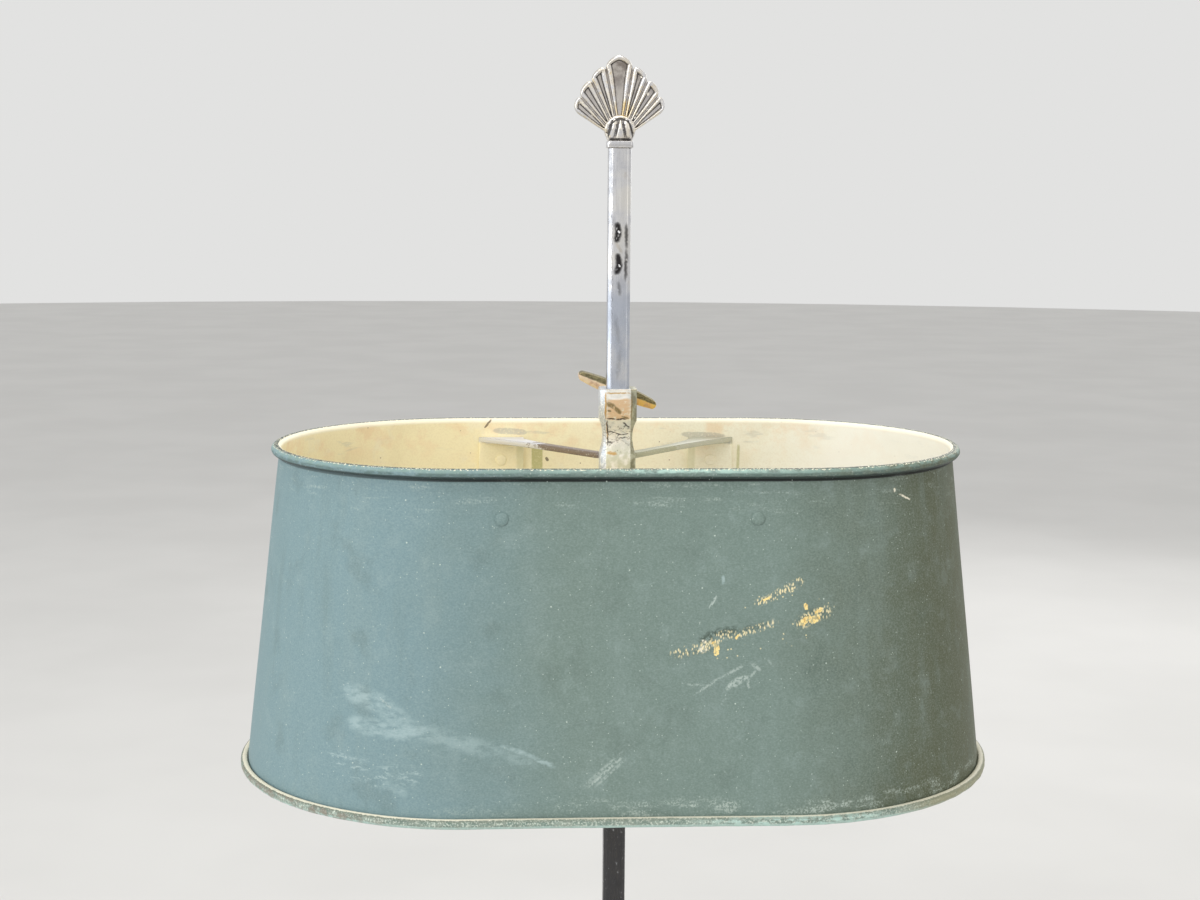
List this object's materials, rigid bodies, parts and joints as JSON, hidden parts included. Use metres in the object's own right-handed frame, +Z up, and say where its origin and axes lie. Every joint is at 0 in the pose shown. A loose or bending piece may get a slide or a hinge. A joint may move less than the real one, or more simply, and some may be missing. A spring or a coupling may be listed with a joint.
{
  "type": "bouillotte lamp",
  "caption": "Candle-arm table lamp with an oval dish base, a square stem, a palmette finial and an oval metal shade that slides on the stem and clamps with a key.",
  "frame": {"origin": "on the table under the middle of the square stem, at the bottom centre of the bounding box", "axes": "+Z up the stem, +X along the oval shade and base towards the right-hand candle, +Y towards the back, where the clamp key and the cord outlet are"},
  "size_m": [0.3394, 0.2066, 0.62],
  "materials": {
    "silver_plate": "worn and tarnished silver plate over brass",
    "tole_paint": "satin grey-green paint outside, cream paint inside, worn",
    "old_brass": "aged golden brass with dark patina",
    "steel": "plain",
    "iron": "rough casting",
    "felt": "green felt",
    "phenolic": "moulded phenolic",
    "lead_cover": "covered wire",
    "ceramic": "unglazed",
    "candle_card": "ivory sleeve",
    "bulb_glass": "clear"
  },
  "bodies": {
    "base": {"felt_pad": "felt", "base_cover_plate": "steel", "cover_screws": "steel", "base_shell": "silver_plate", "dish_gallery": "silver_plate", "base_weight": "iron", "pedestal": "silver_plate", "stem_socket": "silver_plate", "stem_nipple": "old_brass", "stem_washer": "steel", "stem_nut": "old_brass", "cord_gland": "old_brass", "gland_nut": "old_brass", "terminal_block": "ceramic", "switch_leads": "lead_cover", "switch_body": "phenolic", "switch_ring_nut": "old_brass", "stem_tube": "silver_plate", "stem_leads": "lead_cover", "stem_cap": "silver_plate", "finial": "silver_plate", "arm_hub": "silver_plate", "hub_set_screw": "old_brass", "left_arm": "silver_plate", "left_arm_lead": "lead_cover", "left_drip_pan": "silver_plate", "left_candle_cup": "silver_plate", "left_socket_nipple": "steel", "left_lampholder": "phenolic", "left_screw_shell": "old_brass", "left_centre_contact": "old_brass", "left_candle_sleeve": "candle_card", "left_bulb_cap": "old_brass", "left_bulb_glass": "bulb_glass", "left_filament": "steel", "right_arm": "silver_plate", "right_arm_lead": "lead_cover", "right_drip_pan": "silver_plate", "right_candle_cup": "silver_plate", "right_socket_nipple": "steel", "right_lampholder": "phenolic", "right_screw_shell": "old_brass", "right_centre_contact": "old_brass", "right_candle_sleeve": "candle_card", "right_bulb_cap": "old_brass", "right_bulb_glass": "bulb_glass", "right_filament": "steel"},
    "shade_carrier": {"clamp_body": "silver_plate", "front_left_strut": "silver_plate", "front_right_strut": "silver_plate", "back_left_strut": "silver_plate", "back_right_strut": "silver_plate", "shade_rivets": "tole_paint", "shade_shell": "tole_paint", "top_rim_wire": "steel", "bottom_rim_wire": "steel"},
    "shoe": {"pressure_shoe": "old_brass"},
    "key": {"clamp_key": "old_brass"},
    "knob": {"switch_knob": "old_brass"}
  },
  "joints": [
    {"name": "shade_slide", "type": "slide", "parent": "base", "child": "shade_carrier", "axis": [0, 0, 1], "range_m": [-0.12, 0.1]},
    {"name": "shoe_slide", "type": "slide", "parent": "shade_carrier", "child": "shoe", "axis": [0, 1, 0], "range_m": [0, 0.0006]},
    {"name": "key_turn", "type": "hinge", "parent": "shoe", "child": "key", "pos_m": [0, 0.0063, 0.4685], "axis": [0, 1, 0], "range_deg": [0, 270]},
    {"name": "switch_turn", "type": "hinge", "parent": "base", "child": "knob", "pos_m": [0, -0.043, 0.03], "axis": [0, 0, 1], "continuous": true}
  ],
  "couplings": [
    {"joint": "shoe_slide", "follows": "key_turn", "m_per_rad": 0.00012732}
  ]
}
